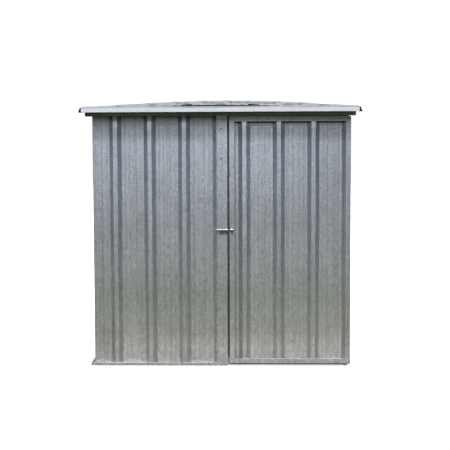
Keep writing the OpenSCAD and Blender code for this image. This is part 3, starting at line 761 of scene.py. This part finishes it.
def roof_fasteners():
    """Rivets on the crests of the ribs, on the rear lip of the capping and on the barges."""
    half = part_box("roof_sheet_right")[1][0] - RIB_TOP / 2
    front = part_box("front_closure")[0][1]
    low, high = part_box("rear_capping")
    back = (low[1] + high[1]) / 2
    rivets = []
    for bay in range(1 - ROOF_BAYS, ROOF_BAYS):
        x = bay * half / ROOF_BAYS
        for y in (front, 0.0):
            rivets.append(seat(roof_node(bay), (x, y, OUTSIDE), UP))
        crest, _ = seat("rear_capping", (x, back, OUTSIDE), UP)
        rivets.append(seat("rear_capping", (x, OUTSIDE, crest.z - LIP_RIVET_DROP), BACK))
    for side, sign, normal in (("left", -1, LEFT), ("right", 1, RIGHT)):
        low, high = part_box(side + "_barge")
        for y in spread(low[1] + BARGE_RIVET_END, high[1] - BARGE_RIVET_END, BARGE_RIVET_STEP):
            crest, _ = seat(side + "_barge", (sign * half, y, OUTSIDE), UP)
            level = crest.z - LIP_RIVET_DROP
            rivets.append(seat(side + "_barge", (sign * OUTSIDE, y, level), normal))
    joined("roof_rivets", "shed", "hardware_steel", rivet, met(rivets))


def bolt_fasteners():
    """Rivets of the bolt's plate and of its keeper."""
    low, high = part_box("bolt_plate")
    inset = BOLT_RIVET_INSET
    mid = (low[0] + high[0]) / 2
    places = []
    for x in (mid - 2 * inset, mid + 2 * inset):
        for z in (low[2] + inset, high[2] - 0.6 * inset):
            places.append(seat("bolt_plate", (x, -OUTSIDE, z), FRONT))
    joined("bolt_plate_rivets", "shed", "hardware_steel", rivet, met(places))
    low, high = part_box("bolt_keeper")
    mid = (low[0] + high[0]) / 2
    places = [
        seat("bolt_keeper", (mid, -OUTSIDE, low[2] + 0.9 * inset), FRONT),
        seat("bolt_keeper", (mid, -OUTSIDE, high[2] - 0.9 * inset), FRONT),
    ]
    joined("bolt_keeper_rivets", "door", "hardware_steel", rivet, places)


# Rolled edges

def base_hems():
    """Hems along the upper edges of the base rails."""
    mesh = bmesh.new()
    inner = BASE_HEM_RADIUS / 2
    low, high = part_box("base_rail_front")
    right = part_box("base_rail_right")
    top = high[2]
    bead(mesh, (low[0], low[1] + inner, top), (high[0], low[1] + inner, top), BASE_HEM_RADIUS)
    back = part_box("base_rail_back")[1]
    x0 = low[0] + inner
    x1 = right[1][0] - inner
    bead(mesh, (x0, low[1], top), (x0, back[1], top), BASE_HEM_RADIUS)
    bead(mesh, (x1, right[0][1], top), (x1, back[1], top), BASE_HEM_RADIUS)
    bead(mesh, (low[0], back[1] - inner, top), (right[1][0], back[1] - inner, top), BASE_HEM_RADIUS)
    finish_piece("base_rail_hems", mesh, "shed", "rail_steel")


def door_hem():
    """Hem along the upper edge of the door's bottom rail."""
    mesh = bmesh.new()
    x0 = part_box("door_left_stile")[1][0]
    x1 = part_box("door_right_stile")[0][0]
    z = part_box("door_bottom_rail")[1][2]
    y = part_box("door_left_stile")[0][1] + DOOR_HEM_RADIUS / 2
    bead(mesh, (x0, y, z), (x1, y, z), DOOR_HEM_RADIUS)
    finish_piece("door_rail_hem", mesh, "door", "rail_steel")


dress_nodes()
front_fasteners()
door_fasteners()
side_fasteners()
roof_fasteners()
bolt_fasteners()
base_hems()
door_hem()


# Floor, light and camera

FLOOR_HALF = 60.0
FLOOR_COLOR = (0.5, 0.5, 0.5, 1.0)
FLOOR_GLOW = 0.5

# Shade on the floor, with the two ends of its soft edges in metres inside the shed's bounds
SHADE_COLOR = (0.10, 0.10, 0.095, 1.0)
SHADE_IN = (0.10, 0.07)
SHADE_IN_FRONT = (0.09, 0.12)

# Sky colours from straight down to straight up, and its gain ahead, behind and beside the shed
SKY_COLORS = [
    (0.00, (0.42, 0.42, 0.39)),
    (0.40, (0.40, 0.41, 0.37)),
    (0.47, (0.40, 0.43, 0.38)),
    (0.52, (0.62, 0.65, 0.68)),
    (0.62, (0.86, 0.90, 0.96)),
    (1.00, (1.40, 1.46, 1.55)),
]
SKY_STRENGTH = 0.22
SIDE_DIM = 0.70
FRONT_GAIN = 0.35
BACK_GAIN = 3.0
BACKDROP = 1.02

# Suns: strength, and degrees of width, of rise over the ground and of turn from the front
SUN_COLOR = (0.97, 0.985, 1.0)
KEY_STRENGTH = 6.6
KEY_WIDTH = 30.0
KEY_RISE = 64.0
KEY_TURN = -3.0
REAR_STRENGTH = 1.1
REAR_WIDTH = 60.0
REAR_RISE = 30.0
REAR_TURN = 120.0


def under_shed(tree):
    """1 on the floor inside the shed's walls, 0 outside."""
    low, high = cad_box
    across = maths(tree, "ABSOLUTE", along(tree, "X"), 0.0)
    inside = inverse(tree, span(tree, across, high[0] - SHADE_IN[0], high[0] - SHADE_IN[1]))
    ahead = span(tree, along(tree, "Y"), low[1] + SHADE_IN_FRONT[0], low[1] + SHADE_IN_FRONT[1])
    inside = times(tree, inside, ahead)
    behind = span(tree, along(tree, "Y"), high[1] - SHADE_IN[0], high[1] - SHADE_IN[1])
    return times(tree, inside, inverse(tree, behind))


def floor():
    """White ground as in the photograph, in shade under the shed."""
    mesh = bmesh.new()
    bmesh.ops.create_grid(mesh, x_segments=1, y_segments=1, size=FLOOR_HALF)
    data = bpy.data.meshes.new("floor")
    mesh.to_mesh(data)
    mesh.free()
    obj = bpy.data.objects.new("floor", data)
    bpy.context.scene.collection.objects.link(obj)
    material, tree, shader = new_material("floor_look")
    inside = under_shed(tree)
    color = mix_color(tree, inside, FLOOR_COLOR, SHADE_COLOR)
    tree.links.new(color, shader.inputs["Base Color"])
    shader.inputs["Roughness"].default_value = 1.0
    shader.inputs["Specular IOR Level"].default_value = 0.0
    shader.inputs["Emission Color"].default_value = even(1.0)
    glow = maths(tree, "MULTIPLY_ADD", inside, -FLOOR_GLOW, FLOOR_GLOW)
    tree.links.new(glow, shader.inputs["Emission Strength"])
    data.materials.append(material)
    obj.visible_glossy = False
    obj.visible_diffuse = False


def world():
    """An overcast sky over grass, white where the camera sees it."""
    made = bpy.data.worlds.new("overcast")
    bpy.context.scene.world = made
    made.use_nodes = True
    tree = made.node_tree
    background = tree.nodes["Background"]
    direction = add(tree, "ShaderNodeTexCoord").outputs["Generated"]
    axes = add(tree, "ShaderNodeSeparateXYZ", {0: direction}).outputs
    sky = ramp(tree, maths(tree, "MULTIPLY_ADD", axes["Z"], 0.5, 0.5), SKY_COLORS)
    forward = maths(tree, "MAXIMUM", times(tree, axes["Y"], -1.0), 0.0)
    backward = maths(tree, "MAXIMUM", axes["Y"], 0.0)
    sideways = times(tree, axes["X"], axes["X"])
    gain = maths(tree, "MULTIPLY_ADD", sideways, -SIDE_DIM, 1.0)
    gain = maths(tree, "MULTIPLY_ADD", forward, FRONT_GAIN, gain)
    gain = maths(tree, "MULTIPLY_ADD", backward, BACK_GAIN, gain)
    lit = mix_color(tree, 1.0, sky, times(tree, gain, SKY_STRENGTH), "MULTIPLY")
    seen = add(tree, "ShaderNodeLightPath").outputs["Is Camera Ray"]
    tree.links.new(mix_color(tree, seen, lit, even(BACKDROP)), background.inputs["Color"])
    background.inputs["Strength"].default_value = 1.0


def soft_light(name, strength, width, rise, turn):
    """A bright part of the overcast sky, rise degrees up and turned from the front."""
    data = bpy.data.lights.new(name, "SUN")
    data.energy = strength
    data.angle = math.radians(width)
    data.color = SUN_COLOR
    obj = bpy.data.objects.new(name, data)
    obj.rotation_euler = (math.radians(90 - rise), 0.0, math.radians(turn))
    bpy.context.scene.collection.objects.link(obj)


def camera():
    """The photograph's camera: yaw, then pitch, then roll."""
    data = bpy.data.cameras.new("camera")
    data.sensor_width = SENSOR
    data.lens = FOCAL_PIXELS / FRAME_PIXELS * SENSOR
    obj = bpy.data.objects.new("camera", data)
    obj.location = CAMERA_PLACE
    turn = Matrix.Rotation(math.radians(CAMERA_YAW), 4, "Z")
    turn = turn @ Matrix.Rotation(math.radians(90 + CAMERA_PITCH), 4, "X")
    turn = turn @ Matrix.Rotation(math.radians(CAMERA_ROLL), 4, "Z")
    obj.rotation_euler = turn.to_euler()
    bpy.context.scene.collection.objects.link(obj)
    bpy.context.scene.camera = obj


floor()
world()
soft_light("key", KEY_STRENGTH, KEY_WIDTH, KEY_RISE, KEY_TURN)
soft_light("rear_left", REAR_STRENGTH, REAR_WIDTH, REAR_RISE, -REAR_TURN)
soft_light("rear_right", REAR_STRENGTH, REAR_WIDTH, REAR_RISE, REAR_TURN)
camera()
bpy.context.scene.view_settings.view_transform = "Standard"
